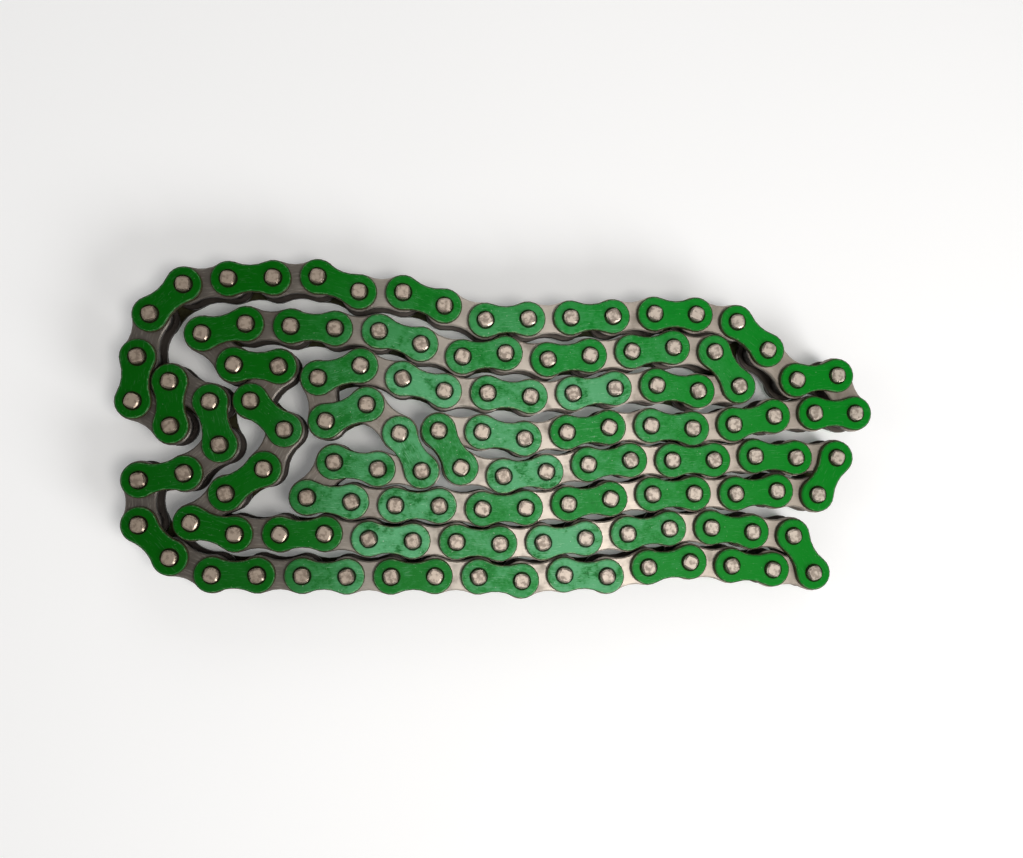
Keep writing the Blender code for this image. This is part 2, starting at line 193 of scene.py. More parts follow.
def plate_shape(end_radius, waist, hole, low, high, steps, open_hole, edge=EDGE):
    """A plate about the middle of its link. Place round the pin hole is one parameter, and the other runs from the
    hole over the flat, down the edge and under. One half is made, and turned round for the other. The grain of a
    point is its place along the link, its place across, and 1 if it is on the rim."""
    outline = steps[0] + 2 * steps[1]
    count = outline + steps[2]
    rim = border(end_radius, waist, 0, steps)
    spokes = rim - (PITCH / 2, 0)
    spokes /= np.hypot(*spokes.T)[:, None]
    bore = spokes * hole + (PITCH / 2, 0)
    mouth = spokes * (hole + EDGE) + (PITCH / 2, 0)
    inside = border(end_radius, waist, edge, steps)
    under = border(end_radius, waist, LOWER_EDGE, steps)
    rings = [(bore, high - EDGE, 0), (mouth, high, 0), (inside, high, 0), (rim, high - EDGE_DEPTH * edge, 1),
             (rim, low + LOWER_EDGE, 1), (under, low, 1)]
    spans = [count, count, outline, outline, outline]
    if open_hole:
        rings.append((bore, low, 0))
        spans += [count, count]
    points = np.vstack([np.column_stack([plan, np.full(count, level)]) for plan, level, _ in rings])
    near_rim = np.repeat([ring[2] for ring in rings], count)
    quads = []
    for number, span in enumerate(spans):
        this = np.arange(span)
        after = (this + 1) % count
        near, far = number * count, (number + 1) % len(rings) * count
        quads.append(np.stack([near + this, far + this, far + after, near + after], 1))
    quads = np.vstack(quads)
    total = len(points)
    points = np.vstack([points, points * (-1, -1, 1)])
    loops = [quads.ravel(), quads.ravel() + total]
    sizes = [4] * (2 * len(quads))
    if not open_hole:
        seat = np.arange(count)
        foot = (len(rings) - 1) * count + np.arange(outline + 1)
        below = np.concatenate([foot, foot[1:-1] + total])[::-1]
        loops += [seat, seat + total, below]
        sizes += [count, count, len(below)]
    grain = np.column_stack([points[:, :2], np.tile(near_rim, 2)])
    return joined(points, grain, np.concatenate(loops), np.array(sizes))


def copies(shape, places, headings, tones, side=1):
    """The shape set down at each place in plan with its length along each heading. Side -1 turns it over about its
    length, for the other side of the chain. The tone is one number for each copy."""
    points, grain, loops, sizes = shape
    number, size = len(places), len(points)
    sideways = np.stack([-headings[:, 1], headings[:, 0]], 1) * side
    plan = places[:, None] + points[None, :, :1] * headings[:, None] + points[None, :, 1:2] * sideways[:, None]
    level = np.broadcast_to(side * points[:, 2], (number, size))
    placed = np.concatenate([plan, level[..., None]], 2).reshape(-1, 3)
    toned = np.concatenate([np.tile(grain, (number, 1)), np.repeat(tones, size)[:, None]], 1)
    shifted = (loops[None] + (np.arange(number) * size)[:, None]).ravel()
    return placed, toned, shifted, np.tile(sizes, number)


def gathered(shapes):
    """Several shapes as one."""
    starts = np.cumsum([0] + [len(shape[0]) for shape in shapes])
    loops = np.concatenate([shape[2] + start for shape, start in zip(shapes, starts)])
    return (np.vstack([shape[0] for shape in shapes]), np.vstack([shape[1] for shape in shapes]), loops,
            np.concatenate([shape[3] for shape in shapes]))


FLAT_CREASE = 28


def make_piece(name, shape, finish, body, nodes, crease=FLAT_CREASE):
    """A mesh piece in metres that rides on a body and stands for CAD nodes. Its grain and tone become attributes.
    Edges sharper than the crease, in degrees, stay sharp."""
    points, grain, loops, sizes = shape
    mesh = bpy.data.meshes.new(name)
    mesh.vertices.add(len(points))
    mesh.loops.add(len(loops))
    mesh.polygons.add(len(sizes))
    mesh.vertices.foreach_set("co", ((points + (0, 0, MIDDLE)) * MM).astype(np.float32).ravel())
    mesh.loops.foreach_set("vertex_index", loops.astype(np.int32))
    mesh.polygons.foreach_set("loop_start", np.concatenate([[0], np.cumsum(sizes)[:-1]]).astype(np.int32))
    mesh.update(calc_edges=True)
    places = mesh.attributes.new("grain", "FLOAT_VECTOR", "POINT").data
    places.foreach_set("vector", grain[:, :3].astype(np.float32).ravel())
    tones = mesh.attributes.new("tone", "FLOAT", "POINT").data
    tones.foreach_set("value", grain[:, 3].astype(np.float32))
    mesh.shade_smooth()
    mesh.set_sharp_from_angle(angle=math.radians(crease))
    mesh.materials.append(finish)
    piece = bpy.data.objects.new(name, mesh)
    bpy.context.scene.collection.objects.link(piece)
    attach(piece, body)
    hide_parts(*nodes)


DEPTH_OF_TONES = 97


class Value:
    """A number or colour inside a finish. Arithmetic on it adds Math nodes."""

    def __init__(self, recipe, socket):
        self.recipe = recipe
        self.socket = socket

    def __add__(self, other):
        return self.recipe.math("ADD", self, other)

    def __sub__(self, other):
        return self.recipe.math("SUBTRACT", self, other)

    def __rsub__(self, other):
        return self.recipe.math("SUBTRACT", other, self)

    def __mul__(self, other):
        return self.recipe.math("MULTIPLY", self, other)

    __radd__ = __add__
    __rmul__ = __mul__


class Recipe:
    """One finish as a node tree that ends in a Principled shader."""

    def __init__(self, name, **constants):
        self.material = bpy.data.materials.new(name)
        self.material.use_nodes = True
        self.tree = self.material.node_tree
        self.shader = self.tree.nodes["Principled BSDF"]
        for socket, value in constants.items():
            self.shader.inputs[socket.replace("_", " ")].default_value = value

    def node(self, kind, settings=None, output=0, **sockets):
        """A node of this kind. Settings come first, then the sockets by name, or by number after an s."""
        made = self.tree.nodes.new("ShaderNode" + kind)
        for key, value in (settings or {}).items():
            if key == "stops":
                self.set_stops(made.color_ramp, value)
            else:
                setattr(made, key, value)
        for key, value in sockets.items():
            number = key[1:].isdigit() and key[0] == "s"
            socket = made.inputs[int(key[1:]) if number else key.replace("_", " ")]
            if isinstance(value, Value):
                self.tree.links.new(value.socket, socket)
            else:
                socket.default_value = value
        return Value(self, made.outputs[output])

    @staticmethod
    def set_stops(ramp, stops):
        """Puts a ramp's stops, each a place and a colour."""
        while len(ramp.elements) < len(stops):
            ramp.elements.new(0.5)
        for element, (place, colour) in zip(ramp.elements, stops):
            element.position = place
            element.color = colour

    def math(self, operation, first, second=0.0):
        return self.node("Math", {"operation": operation}, s0=first, s1=second)

    def step(self, value, low, high):
        """0 below low, 1 above high, and a smooth rise between."""
        settings = {"interpolation_type": "SMOOTHSTEP"}
        return self.node("MapRange", settings, Value=value, From_Min=low, From_Max=high)

    def mix(self, share, first, second):
        """First colour at share 0 and second at share 1."""
        return self.node("Mix", {"data_type": "RGBA"}, output=2, s0=share, s6=first, s7=second)

    def noise(self, place, scale, detail=3.0, roughness=0.55):
        return self.node("TexNoise", Vector=place, Scale=scale, Detail=detail, Roughness=roughness)

    def place(self):
        """Where a point is on the object, in metres."""
        return self.node("TexCoord", output=3)

    def grain(self):
        """The grain attribute: along the link, across it, and the rim."""
        return self.node("Attribute", {"attribute_name": "grain"}, output=1)

    def tone(self):
        return self.node("Attribute", {"attribute_name": "tone"}, output=2)

    def parts(self, vector):
        """The three numbers of a vector."""
        made = self.tree.nodes.new("ShaderNodeSeparateXYZ")
        self.tree.links.new(vector.socket, made.inputs[0])
        return [Value(self, output) for output in made.outputs]

    def brushed(self, along, across, tone, stretch):
        """Noise drawn out along the link, read at another depth for each copy."""
        spread = self.node("CombineXYZ", X=along * (1 / stretch), Y=across, Z=tone * DEPTH_OF_TONES)
        return self.noise(spread, 2.2, 4.0, 0.6)

    def use(self, **sockets):
        """Links what varies to the shader, and gives the finished material."""
        for key, value in sockets.items():
            self.tree.links.new(value.socket, self.shader.inputs[key.replace("_", " ")])
        return self.material


def colour(red, green, blue):
    """A display colour from 0 to 255 as the linear one that a shader takes."""
    shown = np.array([red, green, blue]) / 255
    linear = np.where(shown <= 0.04045, shown / 12.92, ((shown + 0.055) / 1.055) ** 2.4)
    return (*linear.tolist(), 1.0)


def grey(level):
    """A linear grey."""
    return (level, level, level, 1.0)


LEFT_END, RIGHT_END = -0.112, 0.112


def painted_light_along_pile(recipe, stops):
    """A value or colour that changes from the left end of the pile to the right, used to paint the light that falls
    unevenly across the pile.
    """
    across_pile = recipe.parts(recipe.place())[0]
    share = recipe.node("MapRange", Value=across_pile, From_Min=LEFT_END, From_Max=RIGHT_END)
    return recipe.node("ValToRGB", {"stops": stops}, Fac=share)


def nickel_finish():
    """Brushed nickel with oil stains and brush lines. Painted light makes it warm grey in the middle of the pile
    and darker brown-grey at the left, and painted shade darkens it low on the walls.
    """
    recipe = Recipe("nickel plate", Metallic=0.55)
    along, across, rim = recipe.parts(recipe.grain())
    tone = recipe.tone()
    height = recipe.parts(recipe.place())[2]
    # Painted light: darker brown-grey at the left of the pile, where less light falls, and pale warm grey in the
    # middle, where the lamp's light is strongest.
    stops = ((0.0, colour(92, 86, 80)), (0.22, colour(114, 107, 99)), (0.42, colour(190, 181, 170)),
             (0.62, colour(198, 187, 175)), (0.85, colour(172, 161, 149)), (1.0, colour(150, 140, 128)))
    base = painted_light_along_pile(recipe, stops)
    lines = recipe.brushed(along, across, tone, 7)
    smear = recipe.noise(recipe.place(), 170, 4.0)
    oily = recipe.step(smear, 0.5, 0.72) * 0.45
    base = recipe.mix(oily, base, colour(92, 78, 66))
    base = recipe.mix(recipe.step(lines, 0.5, 0.75) * 0.2, base, colour(226, 218, 206))
    # Painted shade: darker below the top face of the upper plates, on the walls and the lower plates, where the
    # gaps lie in shadow.
    painted_shade_low = recipe.step(height, 0.0152, 0.0138)
    base = recipe.mix(painted_shade_low * 0.75, base, colour(46, 38, 34))
    rough = 0.34 + lines * 0.2 + oily * 0.2
    bump = recipe.node("Bump", Height=lines, Strength=0.06, Distance=0.0004)
    return recipe.use(Base_Color=base, Roughness=rough, Normal=bump)


NICKEL = nickel_finish()
ROW_INNER_PLATE = plate_shape(INNER_END_RADIUS, INNER_WAIST, BUSH_RADIUS, INNER_LOW, INNER_HIGH, ROW_STEPS, False)
FREE_INNER_PLATE = plate_shape(INNER_END_RADIUS, INNER_WAIST, BUSH_BORE, INNER_LOW, INNER_HIGH, ROW_STEPS, True)
FINE_INNER_PLATE = plate_shape(INNER_END_RADIUS, INNER_WAIST, BUSH_RADIUS + FIT_GAP / 2, INNER_LOW, INNER_HIGH,
                               FINE_STEPS, True)


def plates_on(links, shape, side):
    """A plate on each of these links, on the upper side of the chain or the lower."""
    links = np.atleast_1d(links)
    return copies(shape, PINS[links] + ALONG[links] * PITCH / 2, ALONG[links], TONES[links], side)


for row, first, last in ROWS:
    odd = np.arange(first + 1, last + 1, 2)
    both = gathered([plates_on(odd, ROW_INNER_PLATE, side) for side in (1, -1)])
    make_piece(f"inner_plates_{row}", both, NICKEL, "packed_rows", [row])
for link in PLAIN_FREE:
    if link % 2 == 1:
        both = gathered([plates_on(link, FREE_INNER_PLATE, side) for side in (1, -1)])
        make_piece(f"inner_plates_{link}", both, NICKEL, body_of_link(link), [f"inner_link_{link}"])
for link in DETAILED:
    for side, word in ((1, "upper"), (-1, "lower")):
        if link % 2 == 1:
            node = f"inner_plate_{link}_{word}"
            make_piece(f"{node}_finished", plates_on(link, FINE_INNER_PLATE, side), NICKEL, body_of_link(link),
                       [node])

# ---------------------------------------------------------------------------------------------------------------
# Bushes and rollers: curled and turned from steel, hardened, dark with oil. A bush is pressed into its two inner
# plates, and a roller turns freely on it between them.
# ---------------------------------------------------------------------------------------------------------------
ROLLER_RADIUS = 4.255
ROLLER_CHAMFER = 0.3
ROLLER_HALF = 3.85
ROW_SIDES = 14
FINE_SIDES = 28
ROUND_CREASE = 40
ROUND_POWER = 2
SQUARE_POWER = 5


def turned(profile, sides, ring):
    """A turned piece about an upright axis: angle is one parameter, and the other follows the profile of (radius,
    level, squareness), up the outside and, for a ring, back down its bore. Squareness swells the corners of the
    circle towards a square by a superellipse of rising power."""
    profile = np.array(profile, float)
    angle = np.arange(sides) * 2 * math.pi / sides
    power = ROUND_POWER + (SQUARE_POWER - ROUND_POWER) * profile[:, 2:3]
    swell = (np.abs(np.cos(angle)) ** power + np.abs(np.sin(angle)) ** power) ** (-1 / power)
    radius = profile[:, :1] * swell
    level = np.repeat(profile[:, 1], sides)
    points = np.column_stack([(radius * np.cos(angle)).ravel(), (radius * np.sin(angle)).ravel(), level])
    around = np.arange(sides)
    after = (around + 1) % sides
    bands = len(profile) if ring else len(profile) - 1
    near = (np.arange(bands) * sides)[:, None]
    far = (np.arange(1, bands + 1) % len(profile) * sides)[:, None]
    quads = np.stack([near + around, near + after, far + after, far + around], 2).reshape(-1, 4)
    loops, sizes = [quads.ravel()], [4] * len(quads)
    if not ring:
        loops += [around[::-1], around + (len(profile) - 1) * sides]
        sizes += [sides, sides]
    spread = np.repeat(np.linspace(0, 1, len(profile)), sides)
    grain = np.column_stack([points[:, :2], spread])
    return points, grain, np.concatenate(loops), np.array(sizes)


def mirrored(upper):
    """A profile given from its middle up, with its mirror image below."""
    return [(radius, -level, square) for radius, level, square in upper[::-1]] + list(upper)


def on_pins(pins, headings, shape):
    """The shape set upright on each of these pins."""
    pins = np.atleast_1d(pins)
    return copies(shape, PINS[pins % LINKS], headings, TONES[pins % LINKS])


def oiled_steel_finish():
    """Dark hardened steel under oil, with bright rubbed bands where a roller has run."""
    recipe = Recipe("oiled dark steel", Metallic=0.85)
    smear = recipe.noise(recipe.place(), 260, 4.0)
    rubbed = recipe.step(smear, 0.52, 0.7)
    base = recipe.mix(rubbed, colour(42, 36, 33), colour(104, 96, 90))
    rough = 0.42 - rubbed * 0.18
    bump = recipe.node("Bump", Height=smear, Strength=0.05, Distance=0.0004)
    return recipe.use(Base_Color=base, Roughness=rough, Normal=bump)


DARK_STEEL = oiled_steel_finish()
ROLLER_EDGE = [(ROLLER_RADIUS, ROLLER_HALF - ROLLER_CHAMFER, 0), (ROLLER_RADIUS - ROLLER_CHAMFER, ROLLER_HALF, 0)]
ROW_ROLLER = turned(mirrored(ROLLER_EDGE + [(BUSH_RADIUS, ROLLER_HALF, 0), (BUSH_RADIUS, INNER_LOW + FIT_GAP, 0)]),
                    ROW_SIDES, False)
FREE_ROLLER = turned(mirrored(ROLLER_EDGE + [(BUSH_RADIUS, ROLLER_HALF, 0), (BUSH_RADIUS, INNER_LOW, 0)])
                     + [(BUSH_BORE, INNER_LOW, 0), (BUSH_BORE, -INNER_LOW, 0)], ROW_SIDES, True)
ROLLER_BORE = BUSH_RADIUS + RUN_GAP
FINE_ROLLER = turned(mirrored(ROLLER_EDGE) + [(ROLLER_BORE, ROLLER_HALF, 0), (ROLLER_BORE, -ROLLER_HALF, 0)],
                     FINE_SIDES, True)
FINE_BUSH = turned([(BUSH_RADIUS, -INNER_HIGH, 0), (BUSH_RADIUS, INNER_HIGH, 0), (BUSH_BORE, INNER_HIGH, 0),
                    (BUSH_BORE, -INNER_HIGH, 0)], FINE_SIDES, True)

for row, first, last in ROWS:
    odd = np.arange(first + 1, last + 1, 2)
    shape = gathered([on_pins(odd + step, ALONG[odd], ROW_ROLLER) for step in (0, 1)])
    make_piece(f"rollers_{row}", shape, DARK_STEEL, "packed_rows", [row], ROUND_CREASE)
for link in PLAIN_FREE:
    if link % 2 == 1:
        shape = gathered([on_pins(link + step, ALONG[[link]], FREE_ROLLER) for step in (0, 1)])
        make_piece(f"rollers_{link}", shape, DARK_STEEL, body_of_link(link), [f"inner_link_{link}"],
                   ROUND_CREASE)
for link in DETAILED:
    if link % 2 == 1:
        for pin in (link, (link + 1) % LINKS):
            make_piece(f"bush_{pin}_finished", on_pins(pin, ALONG[[link]], FINE_BUSH), DARK_STEEL,
                       body_of_link(link), [f"bush_{pin}"], ROUND_CREASE)
            make_piece(f"roller_{pin}_finished", on_pins(pin, ALONG[[link]], FINE_ROLLER), DARK_STEEL,
                       f"roller_body_{pin}", [f"roller_{pin}"], ROUND_CREASE)

# ---------------------------------------------------------------------------------------------------------------
# Outer plates: stamped like the inner ones but narrower, then painted glossy green. The paint has brush lines along
# the plate and fine scratches, and it is worn to bare metal at the outer edge. Its colour also carries painted
# light:
# darker to the left of the pile, a patchy painted reflection of the lamp in the middle, painted highlights on the
# bevel, and painted shade on the bevel and round the pin holes.
# ---------------------------------------------------------------------------------------------------------------
OUTER_LOW = 6.12
OUTER_HIGH = OUTER_LOW + PLATE
OUTER_EDGE = 0.62
ROW_OUTER_PLATE = plate_shape(OUTER_END_RADIUS, OUTER_WAIST, PIN_RADIUS + FIT_GAP, OUTER_LOW, OUTER_HIGH, ROW_STEPS,
                              False, OUTER_EDGE)
FINE_OUTER_PLATE = plate_shape(OUTER_END_RADIUS, OUTER_WAIST, PIN_RADIUS + FIT_GAP, OUTER_LOW, OUTER_HIGH,
                               FINE_STEPS, True, OUTER_EDGE)


def green_finish():
    """Green enamel with brush lines, scratches and specks, worn to bare metal at its outer edge. Its colour carries
    painted light: dark green at the left, a patchy painted reflection of the lamp over the middle, and mid green at
    the right, with the scratches and specks brighter in the painted reflection. Painted shade darkens the bevel and
    a ring round each pin hole, and painted highlights lie along the bevel."""
    recipe = Recipe("green enamel", Metallic=0.0, Specular_IOR_Level=0.07)
    along, across, rim = recipe.parts(recipe.grain())
    tone = recipe.tone()
    upwards = recipe.parts(recipe.place())[1]
    # Painted light: a dark green at the left of the pile, where less light falls, brightening to mid green in the
    # middle and at the right.
    stops = ((0.0, colour(0, 80, 2)), (0.2, colour(0, 90, 4)), (0.38, colour(2, 112, 16)),
             (0.55, colour(3, 132, 36)), (0.8, colour(1, 130, 28)), (1.0, colour(0, 124, 26)))
    green_with_painted_falloff = painted_light_along_pile(recipe, stops)
    # Painted reflection of the lamp: a pale green wash over the middle of the pile, only on its lower part,
    # stronger on some links than others and made patchy by noise.
    painted_reflection = painted_light_along_pile(recipe, ((0.0, grey(0.0)), (0.2, grey(0.04)), (0.27, grey(0.4)), (0.33, grey(0.8)),
                                 (0.6, grey(1.0)), (0.7, grey(0.6)), (0.8, grey(0.12)), (0.9, grey(0.0))))
    painted_reflection = recipe.parts(painted_reflection)[0] * recipe.step(upwards, 0.055, 0.0) * (0.4 + tone * 0.75)
    lines = recipe.brushed(along, across, tone, 2.5)
    smear = recipe.noise(recipe.place(), 190, 6.0, 0.7)
    reflection_patches = recipe.step(smear * 1.2 + lines * 0.4 + tone * 0.25, 0.78, 1.12)
    base = recipe.mix(painted_reflection * (0.25 + reflection_patches * 0.75), green_with_painted_falloff, colour(98, 176, 124))
    # Pale scratches, much brighter inside the painted reflection: real scratches with a painted sheen.
    scratch_and_sheen = recipe.step(recipe.brushed(along, across * 2, tone + 5, 8), 0.6, 0.68) * (painted_reflection * 0.6 + 0.08)
    base = recipe.mix(scratch_and_sheen, base, colour(156, 214, 174))
    # Darker green patches, faint everywhere and strongest inside the painted reflection, which they break up.
    dim = recipe.step(smear * 0.7 + lines * 0.3, 0.47, 0.36) * (0.1 + painted_reflection * 0.65)
    base = recipe.mix(dim, base, colour(0, 92, 30))
    # Pale specks, brighter inside the painted reflection: real specks with painted glints.
    speck_and_glint = recipe.step(recipe.noise(recipe.place(), 1500, 1.0), 0.72, 0.78) * (painted_reflection * 0.6 + 0.1)
    base = recipe.mix(speck_and_glint, base, colour(206, 224, 206))
    # Painted shade: a near-black ring on the plate round each pin hole, where the recess round the pin lies in
    # shadow. The noise only makes its edge ragged.
    folded = recipe.node("CombineXYZ", X=recipe.math("ABSOLUTE", along) - PITCH / 2, Y=across)
    from_pin = recipe.node("VectorMath", {"operation": "LENGTH"}, output=1, s0=folded)
    ragged_noise = recipe.noise(recipe.place(), 900, 2.0)
    hole = recipe.step(from_pin + ragged_noise * 0.3, 3.05, 2.72)
    base = recipe.mix(hole * 0.85, base, colour(34, 26, 20))
    # Painted shade: a darker green over the bevel round the plate.
    bevel = recipe.step(rim, 0.02, 0.3)
    base = recipe.mix(bevel * 0.45, base, colour(0, 84, 28))
    # Painted highlight: a pale green line along the bevel, strongest inside the painted reflection.
    painted_rim_highlight = recipe.step(rim + ragged_noise * 0.1, 0.2, 0.32) * recipe.step(rim, 0.56, 0.42)
    base = recipe.mix(painted_rim_highlight * (0.08 + painted_reflection * 0.4), base, colour(128, 186, 138))
    # Painted highlights: pale green glints scattered along the bevel, stronger inside the painted reflection.
    painted_bevel_glints = recipe.step(ragged_noise + rim * 0.1, 0.55, 0.66) * bevel * (0.2 + painted_reflection * 0.5)
    base = recipe.mix(painted_bevel_glints, base, colour(150, 190, 140))
    bare = recipe.step(rim + ragged_noise * 0.35, 0.72, 0.95)
    base = recipe.mix(bare * 0.9, base, colour(58, 46, 32))
    rough = 0.3 + smear * 0.22 + hole * 0.2
    bump = recipe.node("Bump", Height=lines, Strength=0.07, Distance=0.0004)
    return recipe.use(Base_Color=base, Roughness=rough, Normal=bump)


GREEN = green_finish()

for row, first, last in ROWS:
    even = np.arange(first, last + 1, 2)
    both = gathered([plates_on(even, ROW_OUTER_PLATE, side) for side in (1, -1)])
    make_piece(f"outer_plates_{row}", both, GREEN, "packed_rows", [row])
for link in PLAIN_FREE:
    if link % 2 == 0:
        both = gathered([plates_on(link, ROW_OUTER_PLATE, side) for side in (1, -1)])
        make_piece(f"outer_plates_{link}", both, GREEN, body_of_link(link), [f"outer_link_{link}"])
for link in DETAILED:
    for side, word, closing in ((1, "upper", "connecting_plate"), (-1, "lower", "cover_plate")):
        if link % 2 == 0:
            node = f"outer_plate_{link}_{word}" if link else closing
            make_piece(f"{node}_finished", plates_on(link, FINE_OUTER_PLATE, side), GREEN, body_of_link(link),
                       [node])

# ---------------------------------------------------------------------------------------------------------------
# Pins: bright steel bars pressed through the outer plates, their ends a little proud, bevelled, and staked with a
# squarish punch that leaves a slightly square flat.
# ---------------------------------------------------------------------------------------------------------------
PIN_END = MIDDLE
PIN_SIDES = 16
STAKING_SWING = 0.9
# The head's profile: radius, level and squareness.
PIN_HEAD = [(PIN_RADIUS, PIN_END - 0.62, 0.0), (2.04, PIN_END - 0.38, 0.4), (1.5, PIN_END, 1.0)]
ROW_PIN = turned(mirrored(PIN_HEAD), PIN_SIDES, False)
FINE_PIN = turned(mirrored(PIN_HEAD), FINE_SIDES, False)


def pin_steel_finish():
    """Bright steel with worn brown patches. Its colour carries painted light, warm in the middle of the pile and
    browner at the left. The staked flat is dull, and its shoulder is polished and carries painted shade."""
    recipe = Recipe("bright pin steel")
    tone = recipe.tone()
    # Painted light: browner and darker at the left of the pile, where less light falls, and warmest and brightest
    # in the middle.
    stops = ((0.0, colour(158, 142, 126)), (0.25, colour(172, 156, 140)), (0.45, colour(208, 192, 176)),
             (0.65, colour(204, 190, 176)), (1.0, colour(192, 180, 166)))
    base = painted_light_along_pile(recipe, stops)
    smear = recipe.noise(recipe.place(), 700, 4.0)
    spread = recipe.parts(recipe.grain())[2]
    shoulder = recipe.step(recipe.math("ABSOLUTE", spread - 0.5) + smear * 0.08, 0.53, 0.46)
    worn = recipe.step(smear + tone * 0.1, 0.5, 0.68)
    base = recipe.mix(worn * 0.6, base, colour(96, 80, 68))
    # Painted shade: the shoulder round the head is darkened towards brown.
    base = recipe.mix(shoulder * 0.3, base, colour(84, 66, 56))
    metal = 0.42 + shoulder * 0.43
    rough = 0.4 - shoulder * 0.24 + smear * 0.24
    bump = recipe.node("Bump", Height=smear, Strength=0.2, Distance=0.0004)
    return recipe.use(Base_Color=base, Metallic=metal, Roughness=rough, Normal=bump)


PIN_STEEL = pin_steel_finish()


def turned_headings(pins):
    """Each pin's staking punch fell at its own angle."""
    angle = (TONES[np.atleast_1d(pins) % LINKS] - 0.5) * STAKING_SWING
    return np.stack([np.cos(angle), np.sin(angle)], 1)


def pins_of(links, shape):
    """Both pins of each of these outer links."""
    links = np.atleast_1d(links)
    return gathered([on_pins(links + step, turned_headings(links + step), shape) for step in (0, 1)])


for row, first, last in ROWS:
    make_piece(f"pins_{row}", pins_of(np.arange(first, last + 1, 2), ROW_PIN), PIN_STEEL, "packed_rows", [row])
for link in PLAIN_FREE:
    if link % 2 == 0:
        make_piece(f"pins_{link}", pins_of(link, ROW_PIN), PIN_STEEL, body_of_link(link), [f"outer_link_{link}"])
for link in DETAILED:
    if link % 2 == 0 and link:
        for pin in (link, link + 1):
            shape = on_pins(pin, turned_headings(pin), FINE_PIN)
            make_piece(f"pin_{pin}_finished", shape, PIN_STEEL, body_of_link(link), [f"pin_{pin}"])

# ---------------------------------------------------------------------------------------------------------------
# The connecting link's own pins and spring clip. Each pin has a groove below the cover plate, and the clip, a flat
# fork of spring steel, lies in both grooves. The pin where the loop opens is only its two ends.
# ---------------------------------------------------------------------------------------------------------------
CLIP_THICK = 0.8
CLIP_LIFT = 0.12
GROOVE_RADIUS = 1.65
CLIP_INSIDE = GROOVE_RADIUS + FIT_GAP
CLIP_OUTSIDE = 4.2
CLIP_TIP = PITCH / 2 + 3.4
CLIP_TAPER = 1.2
CLIP_TAPER_LENGTH = 3
CLIP_EDGE = 0.12
CLIP_TOP = -(OUTER_HIGH + CLIP_LIFT)
CLIP_LOW = CLIP_TOP - CLIP_THICK
GROOVE_LOW = CLIP_LOW - CLIP_LIFT / 2
GROOVE_LIP = 0.06

# The lower end's profile, up from the foot over the groove: radius, level and squareness.
FOOT = [(1.5, -PIN_END, 0.8), (1.93, 0.07 - PIN_END, 0.25), (PIN_RADIUS, GROOVE_LOW - GROOVE_LIP, 0),
        (PIN_RADIUS, GROOVE_LOW, 0), (GROOVE_RADIUS, GROOVE_LOW, 0), (GROOVE_RADIUS, -OUTER_HIGH, 0),
        (PIN_RADIUS, -OUTER_HIGH, 0)]
CONNECTING_PINS = (
    ("connecting_pin_1", 1, FOOT + PIN_HEAD),
    ("connecting_pin_0_lower_end", 0, FOOT + [(PIN_RADIUS, -OUTER_LOW, 0)]),
    ("connecting_pin_0_upper_end", 0, [(PIN_RADIUS, OUTER_LOW, 0)] + PIN_HEAD),
)
for node, pin, profile in CONNECTING_PINS:
    shape = on_pins(pin, turned_headings(pin), turned(profile, FINE_SIDES, False))
    make_piece(f"{node}_finished", shape, PIN_STEEL, "connecting_link", [node])


def clip_shape(leg_steps, bend_steps):
    """The clip: a flat bar section carried along one leg, round the bend and back along the other leg. Distance
    along the path is one parameter and place round the section is the other. The outside tapers near the tips."""
    middle = (CLIP_INSIDE + CLIP_OUTSIDE) / 2
    reach = np.linspace(CLIP_TIP, -PITCH / 2, leg_steps + 1)[:-1]
    turn = np.linspace(0, math.pi, bend_steps + 1)
    legs = np.column_stack([reach, np.full(leg_steps, -middle)])
    bend = np.column_stack([-PITCH / 2 - middle * np.sin(turn), -middle * np.cos(turn)])
    path = np.vstack([legs, bend, legs[::-1] * (1, -1)])
    outwards = np.vstack([np.tile((0.0, -1.0), (leg_steps, 1)), np.column_stack([-np.sin(turn), -np.cos(turn)]),
                          np.tile((0.0, 1.0), (leg_steps, 1))])
    half_width = (CLIP_OUTSIDE - CLIP_INSIDE) / 2
    taper = np.clip((path[:, 0] - CLIP_TIP + CLIP_TAPER_LENGTH) / CLIP_TAPER_LENGTH, 0, 1) * CLIP_TAPER
    half_thick = CLIP_THICK / 2
    cut = CLIP_EDGE
    section = np.array([(-1, -1, cut, 0), (1, -1, -cut, 0), (1, -1, 0, cut), (1, 1, 0, -cut),
                        (1, 1, -cut, 0), (-1, 1, cut, 0), (-1, 1, 0, -cut), (-1, -1, 0, cut)])
    offset = section[:, 0] * half_width + section[:, 2]
    offset = offset[None] - taper[:, None] * (section[:, 0] > 0)
    plan = path[:, None] + outwards[:, None] * offset[..., None]
    level = (CLIP_TOP + CLIP_LOW) / 2 + section[:, 1] * half_thick + section[:, 3]
    level = np.broadcast_to(level, offset.shape)
    points = np.concatenate([plan, level[..., None]], 2).reshape(-1, 3)
    sides = len(section)
    along = np.arange(len(path) - 1)[:, None] * sides
    this = np.arange(sides)
    after = (this + 1) % sides
    quads = np.stack([along + this, along + after, along + sides + after, along + sides + this], 2).reshape(-1, 4)
    loops = np.concatenate([quads.ravel(), this[::-1], this + (len(path) - 1) * sides])
    sizes = np.array([4] * len(quads) + [sides, sides])
    return points, points * (1, 1, 0), loops, sizes


CLIP_LEG_STEPS = 8
CLIP_BEND_STEPS = 20
clip = copies(clip_shape(CLIP_LEG_STEPS, CLIP_BEND_STEPS), (PINS[[0]] + PINS[[1]]) / 2, ALONG[[0]], TONES[[0]])
make_piece("spring_clip_finished", clip, PIN_STEEL, "clip", ["spring_clip"])

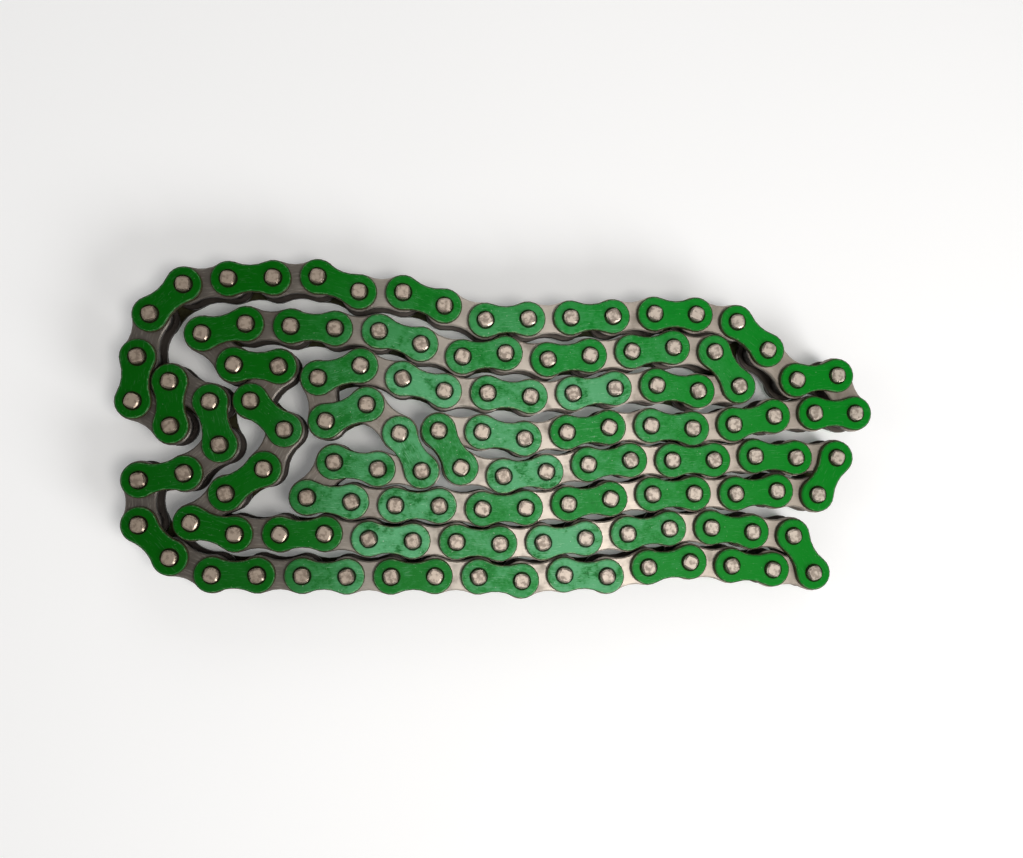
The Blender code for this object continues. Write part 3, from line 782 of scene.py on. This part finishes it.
# ---------------------------------------------------------------------------------------------------------------
# A pale paper floor under the pile, a small lamp over its middle, three large soft lamps round it and a pale room.
# The camera looks down on the pile from a little over its own length, tilted a few degrees.
# ---------------------------------------------------------------------------------------------------------------
FLOOR_HALF = 3.0
GLOW_STARTS = 0.35
GLOW_FULL = 1.7


def floor_finish():
    """White paper, which glows more the further it lies from the lamps, so that it stays pale to its edge."""
    recipe = Recipe("white floor", Roughness=0.7, Emission_Strength=0.9)
    mottle = recipe.noise(recipe.place(), 6, 2.0)
    distance = recipe.node("VectorMath", {"operation": "LENGTH"}, output=1, s0=recipe.place())
    glow = recipe.mix(recipe.step(distance, GLOW_STARTS, GLOW_FULL), grey(0.155), grey(1.0))
    return recipe.use(Base_Color=recipe.mix(mottle, grey(0.93), grey(0.96)), Emission_Color=glow)


floor_mesh = bpy.data.meshes.new("floor")
corners = np.array([(-1, -1, 0), (1, -1, 0), (1, 1, 0), (-1, 1, 0)]) * FLOOR_HALF
floor_mesh.from_pydata(corners.tolist(), [], [(0, 1, 2, 3)])
floor_mesh.materials.append(floor_finish())
floor = bpy.data.objects.new("floor", floor_mesh)
bpy.context.scene.collection.objects.link(floor)


def add_lamp(name, place, target, size, power, tint=(1.0, 1.0, 1.0)):
    """A round soft lamp that faces its target."""
    lamp = bpy.data.lights.new(name, "AREA")
    lamp.shape = "DISK"
    lamp.size = size
    lamp.energy = power
    lamp.color = tint
    holder = bpy.data.objects.new(name, lamp)
    holder.location = place
    holder.rotation_euler = (Vector(target) - Vector(place)).to_track_quat("-Z", "Y").to_euler()
    bpy.context.scene.collection.objects.link(holder)


add_lamp("lamp_over_middle", (0.12, -0.08, 0.55), (0.02, -0.01, 0.0), 0.16, 1.0, (1.0, 0.97, 0.93))
add_lamp("soft_right", (0.6, -0.55, 0.5), (0.0, 0.0, 0.0), 0.45, 4.8)
add_lamp("soft_left", (-0.8, 0.1, 0.6), (0.0, 0.0, 0.0), 0.6, 1.2)
add_lamp("soft_back", (0.0, 0.9, 0.6), (0.0, 0.0, 0.0), 0.6, 1.2)

# The room is pale at the horizon and dims to the height where the ceiling starts.
CEILING = 0.3
world = bpy.data.worlds.new("soft room")
world.use_nodes = True
sky = world.node_tree
heading = sky.nodes.new("ShaderNodeTexCoord")
parts = sky.nodes.new("ShaderNodeSeparateXYZ")
ramp = sky.nodes.new("ShaderNodeValToRGB")
Recipe.set_stops(ramp.color_ramp, ((0.0, grey(0.9)), (CEILING, grey(0.2))))
ramp.color_ramp.interpolation = "EASE"
sky.links.new(heading.outputs["Generated"], parts.inputs[0])
sky.links.new(parts.outputs["Z"], ramp.inputs[0])
sky.links.new(ramp.outputs[0], sky.nodes["Background"].inputs["Color"])
bpy.context.scene.world = world
bpy.context.scene.view_settings.view_transform = "Standard"

TILT_BACK = 1.9655
TILT_LEFT = 5.3412
camera = bpy.data.objects.new("camera", bpy.data.cameras.new("camera"))
camera.data.lens = 35.33
camera.data.clip_start = 0.01
camera.location = (-0.02577, -0.00994, 0.31096)
camera.rotation_euler = (math.radians(TILT_BACK), -math.radians(TILT_LEFT), 0.0)
bpy.context.scene.collection.objects.link(camera)
bpy.context.scene.camera = camera
